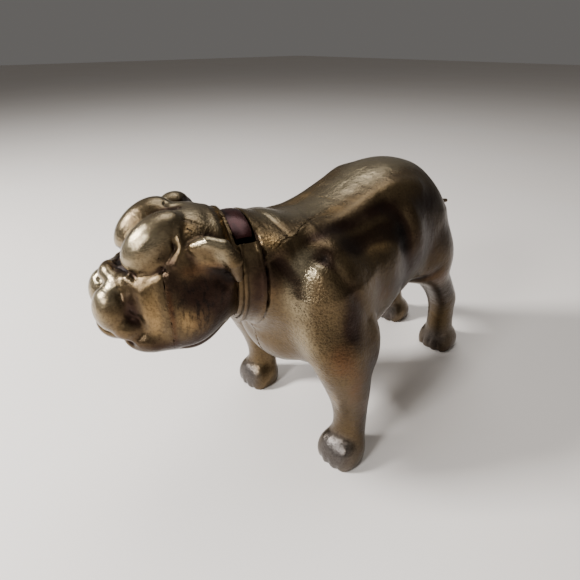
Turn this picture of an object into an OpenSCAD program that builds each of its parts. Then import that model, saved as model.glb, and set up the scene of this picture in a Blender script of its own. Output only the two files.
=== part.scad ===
// Coin bank in the form of a standing bulldog, cast in hollow pieces and soldered together.
// The dog faces -Y and stands on Z = 0. X = 0 is its middle plane, +X is the dog's left.

/* [Castings] */
// Wall thickness of the hollow castings
wall = 2.4; // [2:0.1:2.8]
// Sides of each ring of the sculpted skin
ring_sides = 32; // [24:4:36]
// Gap left at a soldered seam
seam_gap = 0.06; // [0.04:0.02:0.1]

/* [Head] */
// How far the head is turned to the dog's right
head_turn = 18; // [14:1:20]

/* [Coin slot] */
// Width of the slot along the neck
slot_width = 6.4; // [6:0.2:6.8]
// Half of the angle that the slot spans round the nape
slot_half_angle = 50; // [48:1:52]

/* [Coin gate] */
// Width of the copper gate
gate_width = 5.2; // [4.6:0.2:5.4]
// Thickness of the gate
gate_thick = 1; // [0.8:0.1:1.2]

/* [Belly outlet] */
// Clear diameter of the outlet
outlet_bore = 25; // [24:0.5:25.5]

/* [Hidden] */

bronze = [0.62, 0.52, 0.33];
copper = [0.45, 0.22, 0.15];
steel = [0.6, 0.6, 0.62];
rubber = [0.15, 0.15, 0.15];

// The neck turns about this point
neck_pivot = [0, -30, 0];

// Heights of the plane that parts the face from the back of the head, and of the neck joint
face_seam_y = -62.5;
neck_seam_y = -44.4;

// How much further back the right feet stand than the left
stride = 5.3;

// The slot and the ring of the neck round it, in the turned frame of the head
slot_y = -40.4;
neck_centre_z = 73.2;
neck_radius = 15.6;

// Where the floor of the slot ends, and how far its sides reach beyond the neck
slot_floor_radius = 8;
slot_reach = 26;
collar_gap_reach = 30;

// Everything is moved by this much so that the origin lies under the middle of the bank
middle_shift_y = -0.55;

// The gate's hinge, measured from the middle of the neck
hinge_angle = 54;
hinge_radius = 10.4;
pin_radius = 0.75;
pin_length = 9.4;
running_fit = 0.05;
knuckle_radius = 1.6;
gate_radius = neck_radius - 1.6;
gate_far_angle = -43;
gate_near_angle = 20;
ear_radius = 1.9;
ear_thick = 0.9;
ear_gap = 0.3;
bracket_outer = 12.4;
bracket_thick = 1;
leaf_thick = 0.35;
leaf_width = 3;

// The collar
collar_y = -40.4;
collar_width = 5.8;
collar_proud = 1;

// The outlet, on an axis square to the belly
outlet_centre = [0, 8, 38.2];
outlet_tilt = 18;
outlet_radius = outlet_bore / 2;
ring_outer = outlet_radius + 2.5;
ring_height = 7.5;
plug_fit = 0.06;
plug_length = 5;
plug_wall = 1.6;
flange_radius = outlet_radius + 1.8;
flange_thick = 1.6;
washer_thick = 0.6;
coin_groove = [18, 1.8, 1];

// The tail
tail_root = [0, 57.4, 68.4];
tail_turn = 14.8;
tail_drop = 4.4;
tail_length = 13.8;
tail_radius = 1.7;
tail_tip_radius = 0.8;
spigot_radius = 1.7;
spigot_length = 3.4;
spigot_fit = 0.06;
tail_overlap = 0.5;

// The saddle of the back starts at this height
saddle_floor_z = 74;
saddle_height = 40;

// Clearance round the soldered outlet ring, and the drill that makes its hole
ring_fit = 0.12;
drill_below = 20;
drill_length = 36;

// The washer's own play
washer_play = 0.02;
washer_inset = 0.2;
washer_bore_fit = 0.05;

// The inside of the head stops this far behind the lips and is this much thicker
head_inside_front = -66;
head_extra_wall = 0.8;
// The inside of the trunk runs between these places
trunk_inside_front = -30;
trunk_inside_rear = 55;

// Sides of the round and oval work
inner_sides = 28;
leg_sides = 16;
outlet_sides = 64;
bore_sides = 48;
tail_sides = 32;
spigot_hole_sides = 16;
slot_floor_sides = 24;

// ---- lofting -------------------------------------------------------------------------------

// A point of the smooth curve through the rows b and c, with a and d as neighbours
function curve_row(a, b, c, d, t) =
    0.5 * (2 * b + (c - a) * t + (2 * a - 5 * b + 4 * c - d) * t * t + (3 * b - a - 3 * c + d) * t * t * t);

// The rows of a table with smooth rows filled in between them
function smooth_rows(rows, steps) = [
    for (i = [0 : len(rows) - 2])
        for (k = [0 : steps - 1])
            let (before = rows[max(i - 1, 0)], after = rows[min(i + 2, len(rows) - 1)])
                curve_row(before, rows[i], rows[i + 1], after, k / steps),
    rows[len(rows) - 1]
];

// A closed ring: half width, height above and depth below its centre, and squareness
function ring2d(half_w, up, down, square, sides) = [
    for (i = [0 : sides - 1])
        let (a = 360 * (i + 0.5) / sides,
             k = pow(pow(abs(cos(a)), square) + pow(abs(sin(a)), square), -1 / square))
            [half_w * cos(a) * k, (sin(a) > 0 ? up : down) * sin(a) * k]
];

// Rings that stand across Y. Each row is [y, z, half width, up, down, squareness].
function rings_along_y(rows, grow, sides) = [
    for (r = rows)
        [for (p = ring2d(r[2] + grow, r[3] + grow, r[4] + grow, r[5], sides)) [p[0], r[0], r[1] + p[1]]]
];

// Rings that lie across Z. Each row is [z, x, y, half width, front, rear].
function rings_along_z(rows, sides) = [
    for (r = rows)
        [for (p = ring2d(r[3], r[5], r[4], 2.2, sides)) [r[1] + p[0], r[2] + p[1], r[0]]]
];

// Rings of equal length, joined side by side and closed at both ends
module loft(rings) {
    n = len(rings[0]);
    m = len(rings);
    sides = [
        for (j = [0 : m - 2])
            for (i = [0 : n - 1])
                let (a = j * n + i, b = j * n + (i + 1) % n)
                    each [[a, b, b + n], [a, b + n, a + n]]
    ];
    first = [[for (i = [n - 1 : -1 : 0]) i]];
    last = [[for (i = [0 : n - 1]) (m - 1) * n + i]];
    polyhedron(points = [for (r = rings) each r], faces = concat(sides, first, last));
}

// An ellipsoid at c with radii r, tilted about X and then turned about Z
module mass(c, r, tilt = 0, turn = 0, detail = 20)
    translate(c) rotate([0, 0, turn]) rotate([tilt, 0, 0]) scale(r) sphere(r = 1, $fn = detail);

module both_sides() {
    children();
    mirror([1, 0, 0]) children();
}

// Places what is drawn straight ahead into the turned head and neck
module turned_head()
    translate(neck_pivot) rotate([0, 0, -head_turn]) translate(-neck_pivot) children();

// Makes one casting of everything inside it
module casting() resize([0, 0, 0]) children();

// ---- the sculpted shape --------------------------------------------------------------------

trunk_rows = [
    [-33.5, 66, 7, 11, 12, 2],
    [-31, 66, 14.5, 17.6, 18, 2],
    [-27, 64, 19.5, 20.7, 24.5, 2],
    [-21, 61, 23.5, 23, 30.5, 2.1],
    [-13, 60, 25, 23.7, 30.5, 2.15],
    [-4, 60.5, 25.3, 24.6, 27.5, 2.2],
    [6, 62.5, 24.6, 25.6, 25, 2.2],
    [17, 65, 23.5, 26.4, 23.5, 2.2],
    [27, 67, 21.5, 25.2, 22, 2.2],
    [36, 68.5, 19.5, 21.9, 20, 2.15],
    [43, 69, 16, 16.8, 17, 2.1],
    [48.5, 68.5, 13, 12.6, 13.8, 2],
    [53.3, 68, 9, 8.2, 9.8, 2],
    [56.4, 68.1, 4.6, 4, 5.4, 2],
    [57.6, 68.4, 1.1, 1, 1, 2]
];

neck_rows = [
    [-50, 75.5, 14, 15.5, 16.5, 2],
    [-45, 74.3, 15, 15.6, 17, 2],
    [-40, 73.2, 15.6, 15.6, 17.6, 2],
    [-34, 71, 16.5, 16, 18.5, 2],
    [-28, 68.5, 17.5, 16.5, 19.5, 2],
    [-22, 66, 14, 15, 18, 2]
];

skull_rows = [
    [-70.5, 73.5, 5, 6, 9, 2],
    [-68.5, 74, 10.5, 11, 14.5, 2.1],
    [-64, 74.5, 13.6, 14.6, 19, 2.2],
    [-58, 75, 15.2, 16.6, 20.6, 2.3],
    [-52, 75, 15.4, 16.8, 20, 2.2],
    [-47, 74.4, 14.8, 16.4, 18, 2.1],
    [-43.5, 74, 13.6, 15, 16, 2]
];

fore_leg_rows = [
    [64, 16, -22, 7, 10, 10],
    [52, 21.5, -22.5, 9, 11.5, 10.5],
    [42, 24.2, -21.3, 8.4, 10, 9],
    [32, 25.3, -19.4, 7.2, 7.6, 7.2],
    [22, 25.5, -17.3, 5.8, 6, 5.8],
    [13, 25.5, -16.6, 5.5, 5.7, 5.4],
    [6, 25.5, -18, 6.4, 7, 6],
    [0, 25.5, -18.6, 6.4, 7, 6.2]
];

hind_leg_rows = [
    [70, 9, 36, 6, 10, 8],
    [58, 12.5, 36, 8, 13, 11],
    [48, 15, 42, 7.6, 9.5, 8.8],
    [38, 15.6, 51, 6.6, 7.2, 7],
    [29, 15.6, 58, 6, 6.4, 6.6],
    [21, 15.4, 61, 5.4, 5.6, 5.4],
    [12, 15.2, 63, 5.6, 6.2, 5.8],
    [5, 15, 65, 6.8, 7.6, 7.2],
    [0, 15, 65.2, 6.8, 7.6, 7.2]
];

module paw(centre, size) {
    toe_steps = [-1.5 : 1 : 1.5];
    mass([centre[0], centre[1], size[2] * 0.32], [size[0], size[1], size[2] * 0.68]);
    for (k = toe_steps)
        mass([centre[0] + k * size[0] * 0.46, centre[1] - size[1] * (0.7 - 0.1 * abs(k)), size[2] * 0.34],
             [size[0] * 0.28, size[1] * 0.42, size[2] * 0.5], detail = 12);
}

// Leg rows whose feet stand further back by step, and whose top stays where it is
function stepped(rows, step) =
    [for (r = rows) [r[0], r[1], r[2] + step * max(0, 1 - r[0] / rows[0][0]), r[3], r[4], r[5]]];

module one_leg(rows, paw_centre, paw_size, step) {
    loft(rings_along_z(smooth_rows(stepped(rows, step), 2), leg_sides));
    paw([paw_centre[0], paw_centre[1] + step], paw_size);
}

// The left leg, and the right leg a stride further back
module leg_pair(rows, paw_centre, paw_size) {
    one_leg(rows, paw_centre, paw_size, 0);
    mirror([1, 0, 0]) one_leg(rows, paw_centre, paw_size, stride);
}

module solid_body() {
    loft(rings_along_y(smooth_rows(trunk_rows, 2), 0, ring_sides));
    turned_head() loft(rings_along_y(smooth_rows(neck_rows, 2), 0, ring_sides));
    leg_pair(fore_leg_rows, [25.5, -19.6], [7.6, 7.6, 10]);
    leg_pair(hind_leg_rows, [15, 66], [7.8, 8.6, 9.6]);
    both_sides() {
        mass([17, -20, 60], [10.5, 13, 20], 10);
        mass([11.5, 34, 63], [9.6, 14, 18], 12);
    }
}

module solid_head() {
    loft(rings_along_y(smooth_rows(skull_rows, 2), 0, ring_sides));
    both_sides() {
        mass([5.7, -62.9, 84.2], [6, 7, 7], 20, 10);
        mass([5.2, -73.6, 70.5], [5.6, 5.6, 6.6], 12);
        mass([9.6, -57.5, 67], [7.2, 10, 11.5]);
        mass([14.6, -52, 85.6], [3.2, 6.2, 5.2], 25, -14);
        mass([16, -49.5, 81.5], [2.4, 3.6, 4.6], 20, -10, 14);
    }
    mass([0, -71, 77.5], [3.8, 3.8, 3.8], detail = 16);
    mass([0, -72.4, 63.8], [8, 7.6, 6.2]);
    both_sides() mass([6, -67.5, 60.5], [7, 9, 5.2]);
}

// What is hollow inside the castings
module body_cavity() {
    trunk_inside = [
        for (r = smooth_rows(trunk_rows, 1))
            if (r[0] > trunk_inside_front && r[0] < trunk_inside_rear) r
    ];
    loft(rings_along_y(trunk_inside, -wall, inner_sides));
    turned_head() loft(rings_along_y(neck_rows, -wall, inner_sides));
}

module head_cavity() {
    skull_inside = [for (r = skull_rows) if (r[0] > head_inside_front) r];
    loft(rings_along_y(skull_inside, -wall - head_extra_wall, inner_sides));
}

// ---- where the pieces are parted -----------------------------------------------------------

reach = 200;

module ahead_of(y)
    translate([-reach, y - reach, -reach]) cube([2 * reach, reach, 2 * reach]);

module behind(y)
    translate([-reach, y, -reach]) cube([2 * reach, reach, 2 * reach]);

module above_table()
    translate([-reach, -reach, 0]) cube([2 * reach, 2 * reach, reach]);

// A wedge round the nape, from the middle of the neck outward
module nape_wedge(half_angle, width, outer) {
    translate([0, slot_y + width / 2, neck_centre_z]) rotate([90, 0, 0])
        linear_extrude(height = width)
            polygon([[0, 0], [outer * sin(half_angle), outer * cos(half_angle)], [0, 1.6 * outer],
                [-outer * sin(half_angle), outer * cos(half_angle)]]);
}

module coin_slot()
    turned_head() difference() {
        nape_wedge(slot_half_angle, slot_width, slot_reach);
        translate([0, slot_y, neck_centre_z]) rotate([90, 0, 0])
            cylinder(h = 2 * slot_width, r = slot_floor_radius, center = true, $fn = slot_floor_sides);
    }

// The saddle of the back, seen from above
module cover_outline(grow)
    translate([0, 0, saddle_floor_z])
        linear_extrude(height = saddle_height)
            polygon([
                [-22 - grow, -35 - grow], [11.4 + grow, -41 - grow], [10.4 + grow, -32], [8.4 + grow, -24],
                [6 + grow, -15], [2.6 + grow, -5 + grow], [-2.6 - grow, -5 + grow], [-6 - grow, -15],
                [-9 - grow, -22], [-15 - grow, -30]
            ]);

module cover_zone(grow)
    intersection() {
        cover_outline(grow);
        turned_head() behind(slot_y + slot_width / 2 - grow);
    }

// Places what is drawn on +Z onto the axis of the outlet
module on_outlet_axis()
    translate(outlet_centre) rotate([outlet_tilt, 0, 0]) children();

module outlet_hole()
    on_outlet_axis() translate([0, 0, -drill_below])
        cylinder(h = drill_length, r = ring_outer + ring_fit, $fn = bore_sides);

// Places what is drawn on +Z onto the axis of the tail
module on_tail_axis()
    translate(tail_root) rotate([-90 - tail_drop, 0, -tail_turn]) children();

// The room that the collar takes up round the neck
module collar_room()
    turned_head() difference() {
        intersection() {
            loft(rings_along_y(smooth_rows(neck_rows, 2), 3 * collar_proud, ring_sides));
            ahead_of(collar_y + collar_width / 2 + seam_gap);
            behind(collar_y - collar_width / 2 - seam_gap);
        }
        loft(rings_along_y(smooth_rows(neck_rows, 2), 0, ring_sides));
    }

module hollow_body()
    difference() {
        intersection() {
            solid_body();
            above_table();
            turned_head() behind(neck_seam_y + seam_gap);
        }
        body_cavity();
        coin_slot();
        collar_room();
        outlet_hole();
        on_tail_axis() translate([0, 0, -spigot_length])
            cylinder(h = 2 * spigot_length, r = spigot_radius + spigot_fit, $fn = spigot_hole_sides);
    }

// ---- the pieces ----------------------------------------------------------------------------

module in_the_middle()
    translate([0, middle_shift_y, 0]) children();

module face()
    color(bronze) casting() in_the_middle() turned_head() difference() {
        intersection() {
            solid_head();
            ahead_of(face_seam_y - seam_gap);
        }
        head_cavity();
    }

module head_back()
    color(bronze) casting() in_the_middle() turned_head() difference() {
        intersection() {
            solid_head();
            behind(face_seam_y);
            ahead_of(neck_seam_y);
        }
        head_cavity();
        loft(rings_along_y(neck_rows, -wall, inner_sides));
    }

module body_half(side)
    color(bronze) casting() in_the_middle() difference() {
        intersection() {
            hollow_body();
            translate([(side * (reach + seam_gap / 2)) - reach, -reach, -reach]) cube(2 * reach);
        }
        cover_zone(seam_gap);
    }

module body_left() body_half(1);

module body_right() body_half(-1);

module back_cover()
    color(bronze) casting() in_the_middle() intersection() {
        hollow_body();
        cover_zone(0);
    }

module collar()
    color(bronze) casting() in_the_middle() turned_head() difference() {
        intersection() {
            loft(rings_along_y(smooth_rows(neck_rows, 2), collar_proud, ring_sides));
            ahead_of(collar_y + collar_width / 2);
            behind(collar_y - collar_width / 2);
        }
        loft(rings_along_y(smooth_rows(neck_rows, 2), seam_gap, ring_sides));
        nape_wedge(slot_half_angle, 3 * slot_width, collar_gap_reach);
    }

module tail()
    color(bronze) in_the_middle() on_tail_axis() {
        translate([0, 0, -spigot_length])
            cylinder(h = spigot_length + tail_overlap, r = spigot_radius, $fn = tail_sides);
        cylinder(h = tail_length, r1 = tail_radius, r2 = tail_tip_radius, $fn = tail_sides);
        translate([0, 0, tail_length]) sphere(r = tail_tip_radius, $fn = tail_sides);
    }

// The neck's own middle, with the outline drawn in X and Z and its width along the neck
module across_neck(width)
    in_the_middle() turned_head() translate([0, slot_y + width / 2, neck_centre_z])
        rotate([90, 0, 0]) linear_extrude(height = width) children();

module along_hinge(length, radius)
    in_the_middle() turned_head()
        translate([hinge_point(0, 0)[0], slot_y + length / 2, neck_centre_z + hinge_point(0, 0)[1]])
            rotate([90, 0, 0]) cylinder(h = length, r = radius, $fn = bore_sides);

function round_neck(angle, radius) = [radius * sin(angle), radius * cos(angle)];

function hinge_point(angle, radius) =
    round_neck(-hinge_angle, hinge_radius) + [radius * cos(angle), radius * sin(angle)];

// Points of an arc round the neck, from one angle to another
function arc(from, to, radius, steps) =
    [for (k = [0 : steps]) round_neck(from + k * (to - from) / steps, radius)];

gate_top_steps = 22;
gate_under_steps = 20;
gate_under_start = gate_far_angle + 4;
knuckle_root = knuckle_radius * 0.9;

gate_outline = concat(
    arc(gate_far_angle, gate_near_angle, gate_radius + gate_thick / 2, gate_top_steps),
    arc(gate_near_angle, gate_under_start, gate_radius - gate_thick / 2, gate_under_steps),
    [hinge_point(20, knuckle_root), hinge_point(160, knuckle_root)]
);

module coin_gate()
    color(copper) difference() {
        union() {
            across_neck(gate_width) polygon(gate_outline);
            along_hinge(gate_width, knuckle_radius);
        }
        along_hinge(2 * gate_width, pin_radius + running_fit);
    }

module gate_pin()
    color(steel) along_hinge(pin_length, pin_radius);

bracket_width = gate_width + 2 * ear_gap + 2 * ear_thick;

bracket_from = -62;
bracket_to = -86;
bracket_steps = 8;

bracket_outline = concat(
    arc(bracket_from, bracket_to, bracket_outer, bracket_steps),
    arc(bracket_to, bracket_from, bracket_outer - bracket_thick, bracket_steps)
);

ear_outline = concat(
    [
        round_neck(-61, bracket_outer),
        round_neck(-72, bracket_outer),
        round_neck(-78, bracket_outer - bracket_thick)
    ],
    [for (angle = [-90 : 45 : 90]) hinge_point(angle, ear_radius)]
);

// Everything on the dog's left of the neck's middle plane, and below it
ear_gap_outline = [for (angle = [-180 : 90 : 90]) round_neck(angle, collar_gap_reach)];

module gate_bracket()
    color(steel) difference() {
        union() {
            across_neck(bracket_width) polygon(bracket_outline);
            difference() {
                across_neck(bracket_width) polygon(ear_outline);
                across_neck(bracket_width - 2 * ear_thick) polygon(ear_gap_outline);
            }
        }
        along_hinge(2 * bracket_width, pin_radius);
    }

// The leaf runs from the bracket, under the knuckle, to the underside of the gate.
// Each row is [angle round the neck, radius of the leaf's outer face].
leaf_path = [
    [-80, 11.34],
    [-74, 9.6],
    [-62, 8.1],
    [-46, 7.9],
    [-32, 9],
    [-22, 10.8],
    [-15, 12.7],
    [-11, 13.1]
];

leaf_outline = concat(
    [for (p = leaf_path) round_neck(p[0], p[1])],
    [for (k = [len(leaf_path) - 1 : -1 : 0]) round_neck(leaf_path[k][0], leaf_path[k][1] - leaf_thick)]
);

module gate_spring()
    color(steel) across_neck(leaf_width) polygon(leaf_outline);

module outlet_ring()
    color(bronze) in_the_middle() on_outlet_axis() difference() {
        cylinder(h = ring_height, r = ring_outer, $fn = outlet_sides);
        translate([0, 0, -1]) cylinder(h = ring_height + 2, r = outlet_radius, $fn = outlet_sides);
    }

module outlet_plug()
    color(bronze) in_the_middle() on_outlet_axis() difference() {
        union() {
            translate([0, 0, -washer_thick])
                cylinder(h = plug_length + washer_thick, r = outlet_radius - plug_fit, $fn = outlet_sides);
            translate([0, 0, -washer_thick - flange_thick])
                cylinder(h = flange_thick, r = flange_radius, $fn = outlet_sides);
        }
        translate([0, 0, 1]) cylinder(h = plug_length, r = outlet_radius - plug_wall, $fn = outlet_sides);
        translate([-coin_groove[0] / 2, -coin_groove[1] / 2, -washer_thick - flange_thick - 0.1])
            cube([coin_groove[0], coin_groove[1], coin_groove[2] + 0.1]);
    }

module plug_washer()
    color(rubber) in_the_middle() on_outlet_axis()
    translate([0, 0, -washer_thick + washer_play]) difference() {
        cylinder(h = washer_thick - 2 * washer_play, r = flange_radius - washer_inset, $fn = outlet_sides);
        translate([0, 0, -1]) cylinder(h = 3, r = outlet_radius + washer_bore_fit, $fn = outlet_sides);
    }

face();
head_back();
collar();
body_left();
body_right();
back_cover();
tail();
coin_gate();
gate_pin();
gate_bracket();
gate_spring();
outlet_ring();
outlet_plug();
plug_washer();
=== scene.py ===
"""A bronzed bulldog coin bank: carved castings, their patina with painted light and shade, the copper
gate and the belly outlet.
"""

import math

import bpy
import numpy as np
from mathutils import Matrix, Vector


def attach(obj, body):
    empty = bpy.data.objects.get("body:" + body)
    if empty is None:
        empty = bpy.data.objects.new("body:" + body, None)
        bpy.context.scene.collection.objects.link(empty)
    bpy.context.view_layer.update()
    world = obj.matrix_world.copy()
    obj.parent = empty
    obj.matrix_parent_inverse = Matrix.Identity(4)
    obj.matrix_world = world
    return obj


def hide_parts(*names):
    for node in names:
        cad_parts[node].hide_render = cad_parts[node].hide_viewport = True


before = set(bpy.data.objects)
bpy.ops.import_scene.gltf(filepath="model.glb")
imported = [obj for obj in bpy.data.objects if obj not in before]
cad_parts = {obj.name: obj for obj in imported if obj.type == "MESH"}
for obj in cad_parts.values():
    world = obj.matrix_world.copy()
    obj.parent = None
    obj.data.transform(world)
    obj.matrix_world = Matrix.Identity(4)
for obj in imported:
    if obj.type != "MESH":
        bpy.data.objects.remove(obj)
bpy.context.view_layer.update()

MM = 0.001
TINY = 1e-6

# ---- the sculptor's frame -------------------------------------------------------------------
# Shapes are written in millimetres, dog facing -Y. The head is written facing straight ahead and
# is then turned about a pivot in the neck.

MIDDLE_SHIFT = np.array([0.0, -0.55, 0.0])
NECK_PIVOT = np.array([0.0, -30.0, 0.0])
HEAD_TURN = math.radians(18)


def turned(points, angle):
    """Points turned about the neck's pivot."""
    c, s = math.cos(angle), math.sin(angle)
    q = points - NECK_PIVOT
    return np.stack([q[:, 0] * c - q[:, 1] * s, q[:, 0] * s + q[:, 1] * c, q[:, 2]], 1) + NECK_PIVOT


def into_head(points):
    """Points of the bank in the frame of a head that faces straight ahead."""
    return turned(points, HEAD_TURN)


def out_of_head(points):
    """Points of the head's own frame, where they are on the bank."""
    return turned(np.atleast_2d(np.array(points, float)), -HEAD_TURN)


def smooth_step(x, low, high):
    """0 below low, 1 above high, and a soft step between."""
    t = np.clip((x - low) / (high - low), 0, 1)
    return t * t * (3 - 2 * t)


# ---- solid forms, each with a distance that is negative inside -------------------------------


class Loft:
    """Squared rings along an axis. A row is [place, centre, centre, half width, up, down, squareness]."""

    def __init__(self, axis, rows, blend):
        rows = sorted(rows)
        self.axis = axis
        self.place = np.array([r[0] for r in rows], float)
        self.rows = np.array([r[1:] for r in rows], float)
        self.blend = blend

    def ring_at(self, along):
        """The row at each place, on a smooth curve through the rows."""
        n = len(self.place)
        k = np.clip(np.searchsorted(self.place, along) - 1, 0, n - 2)
        t = np.clip((along - self.place[k]) / (self.place[k + 1] - self.place[k]), 0, 1)[:, None]
        a, b = self.rows[np.maximum(k - 1, 0)], self.rows[k]
        c, d = self.rows[k + 1], self.rows[np.minimum(k + 2, n - 1)]
        bend = 2 * a - 5 * b + 4 * c - d
        twist = 3 * b - a - 3 * c + d
        return 0.5 * (2 * b + (c - a) * t + bend * t**2 + twist * t**3)

    def distance(self, p):
        """Roughly how far each point is outside the rings, or past the ends."""
        along = p[:, self.axis]
        ring = self.ring_at(along)
        across = [i for i in (0, 1, 2) if i != self.axis]
        u = p[:, across[0]] - ring[:, 0]
        v = p[:, across[1]] - ring[:, 1]
        up, down = (ring[:, 3], ring[:, 4]) if self.axis == 1 else (ring[:, 4], ring[:, 3])
        reach = np.where(v > 0, up, down)
        power = ring[:, 5]
        gauge = ((np.abs(u) / ring[:, 2]) ** power + (np.abs(v) / reach) ** power) ** (1 / power)
        radius = np.hypot(u, v)
        edge = np.where(gauge > TINY, radius / np.maximum(gauge, TINY), ring[:, 2])
        past_end = np.maximum(self.place[0] - along, along - self.place[-1])
        return np.maximum(radius - edge, past_end)


class Mass:
    """An ellipsoid, tilted about X and then turned about Z."""

    def __init__(self, centre, radii, tilt=0, turn=0, blend=2.0):
        self.centre = np.array(centre, float)
        self.radii = np.array(radii, float)
        a, b = math.radians(tilt), math.radians(turn)
        tilting = np.array([[1, 0, 0], [0, math.cos(a), -math.sin(a)], [0, math.sin(a), math.cos(a)]])
        turning = np.array([[math.cos(b), -math.sin(b), 0], [math.sin(b), math.cos(b), 0], [0, 0, 1]])
        self.turn = turning @ tilting
        self.blend = blend

    def distance(self, p):
        q = (p - self.centre) @ self.turn
        gauge = np.linalg.norm(q / self.radii, axis=1)
        radius = np.linalg.norm(q, axis=1)
        return radius - radius / np.maximum(gauge, TINY)


class Roll:
    """A rounded roll along a path, with a radius at each point."""

    def __init__(self, path, radii, blend=1.0):
        self.path = np.array(path, float)
        self.radii = np.array(radii, float)
        self.blend = blend

    def distance(self, p):
        best = None
        for a, b, ra, rb in zip(self.path, self.path[1:], self.radii, self.radii[1:]):
            t = np.clip((p - a) @ (b - a) / ((b - a) @ (b - a)), 0, 1)
            d = np.linalg.norm(p - a - t[:, None] * (b - a), axis=1) - (ra + t * (rb - ra))
            best = d if best is None else np.minimum(best, d)
        return best


def on_both_sides(form, *place, **how):
    """The form on the dog's left, and its mirror image on the right."""
    if form is Roll:
        mirrored = [(-x, y, z) for x, y, z in place[0]]
    else:
        x, y, z = place[0]
        mirrored = (-x, y, z)
    other = dict(how)
    if "turn" in how:
        other["turn"] = -how["turn"]
    return [form(*place, **how), form(mirrored, *place[1:], **other)]


def joined(forms, p, smooth=True):
    """The distance to all the forms together, run into each other by each form's blend."""
    total = forms[0].distance(p)
    for form in forms[1:]:
        d = form.distance(p)
        if smooth:
            h = np.maximum(form.blend - np.abs(total - d), 0) / form.blend
            total = np.minimum(total, d) - h * h * form.blend / 4
        else:
            total = np.minimum(total, d)
    return total


# ---- the dog, as the castings were designed --------------------------------------------------

TRUNK = [
    [-33.5, 0, 66, 7, 11, 12, 2],
    [-31, 0, 66, 14.5, 17.6, 18, 2],
    [-27, 0, 64, 19.5, 20.7, 24.5, 2],
    [-21, 0, 61, 23.5, 23, 30.5, 2.1],
    [-13, 0, 60, 25, 23.7, 30.5, 2.15],
    [-4, 0, 60.5, 25.3, 24.6, 27.5, 2.2],
    [6, 0, 62.5, 24.6, 25.6, 25, 2.2],
    [17, 0, 65, 23.5, 26.4, 23.5, 2.2],
    [27, 0, 67, 21.5, 25.2, 22, 2.2],
    [36, 0, 68.5, 19.5, 21.9, 20, 2.15],
    [43, 0, 69, 16, 16.8, 17, 2.1],
    [48.5, 0, 68.5, 13, 12.6, 13.8, 2],
    [53.3, 0, 68, 9, 8.2, 9.8, 2],
    [56.4, 0, 68.1, 4.6, 4, 5.4, 2],
    [57.6, 0, 68.4, 1.1, 1, 1, 2],
]

NECK = [
    [-50, 0, 75.5, 14, 15.5, 16.5, 2],
    [-45, 0, 74.3, 15, 15.6, 17, 2],
    [-40, 0, 73.2, 15.6, 15.6, 17.6, 2],
    [-34, 0, 71, 16.5, 16, 18.5, 2],
    [-28, 0, 68.5, 17.5, 16.5, 19.5, 2],
    [-22, 0, 66, 14, 15, 18, 2],
]

SKULL = [
    [-70.5, 0, 73.5, 5, 6, 9, 2],
    [-68.5, 0, 74, 10.5, 11, 14.5, 2.1],
    [-64, 0, 74.5, 13.6, 14.6, 19, 2.2],
    [-58, 0, 75, 15.2, 16.6, 20.6, 2.3],
    [-52, 0, 75, 15.4, 16.8, 20, 2.2],
    [-47, 0, 74.4, 14.8, 16.4, 18, 2.1],
    [-43.5, 0, 74, 13.6, 15, 16, 2],
]

FORE_LEG = [
    [64, 16, -22, 7, 10, 10, 2.2],
    [52, 21.5, -22.5, 9, 11.5, 10.5, 2.2],
    [42, 24.2, -21.3, 8.4, 10, 9, 2.2],
    [32, 25.3, -19.4, 7.2, 7.6, 7.2, 2.2],
    [22, 25.5, -17.3, 5.8, 6, 5.8, 2.2],
    [13, 25.5, -16.6, 5.5, 5.7, 5.4, 2.2],
    [6, 25.5, -18, 6.4, 7, 6, 2.2],
    [0, 25.5, -18.6, 6.4, 7, 6.2, 2.2],
]

HIND_LEG = [
    [70, 9, 36, 6, 10, 8, 2.2],
    [58, 12.5, 36, 8, 13, 11, 2.2],
    [48, 15, 42, 7.6, 9.5, 8.8, 2.2],
    [38, 15.6, 51, 6.6, 7.2, 7, 2.2],
    [29, 15.6, 58, 6, 6.4, 6.6, 2.2],
    [21, 15.4, 61, 5.4, 5.6, 5.4, 2.2],
    [12, 15.2, 63, 5.6, 6.2, 5.8, 2.2],
    [5, 15, 65, 6.8, 7.6, 7.2, 2.2],
    [0, 15, 65.2, 6.8, 7.6, 7.2, 2.2],
]

STRIDE = 5.3


def leg(rows, side, blend):
    """A leg on one side. The right feet stand a stride further back, and the top stays put."""
    top = rows[0][0]
    step = STRIDE if side < 0 else 0
    leg = [[r[0], side * r[1], r[2] + step * max(0, 1 - r[0] / top)] + r[3:] for r in rows]
    return Loft(2, leg, blend)


def paw(centre, size, side, blend):
    """The paw's main mass and its four toes."""
    x, y = side * centre[0], centre[1] + (STRIDE if side < 0 else 0)
    forms = [Mass((x, y, size[2] * 0.32), (size[0], size[1], size[2] * 0.68), blend=blend)]
    for k in (-1.5, -0.5, 0.5, 1.5):
        place = (x + side * k * size[0] * 0.46, y - size[1] * (0.7 - 0.1 * abs(k)), size[2] * 0.34)
        forms.append(Mass(place, (size[0] * 0.28, size[1] * 0.42, size[2] * 0.5), blend=blend))
    return forms


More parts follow.
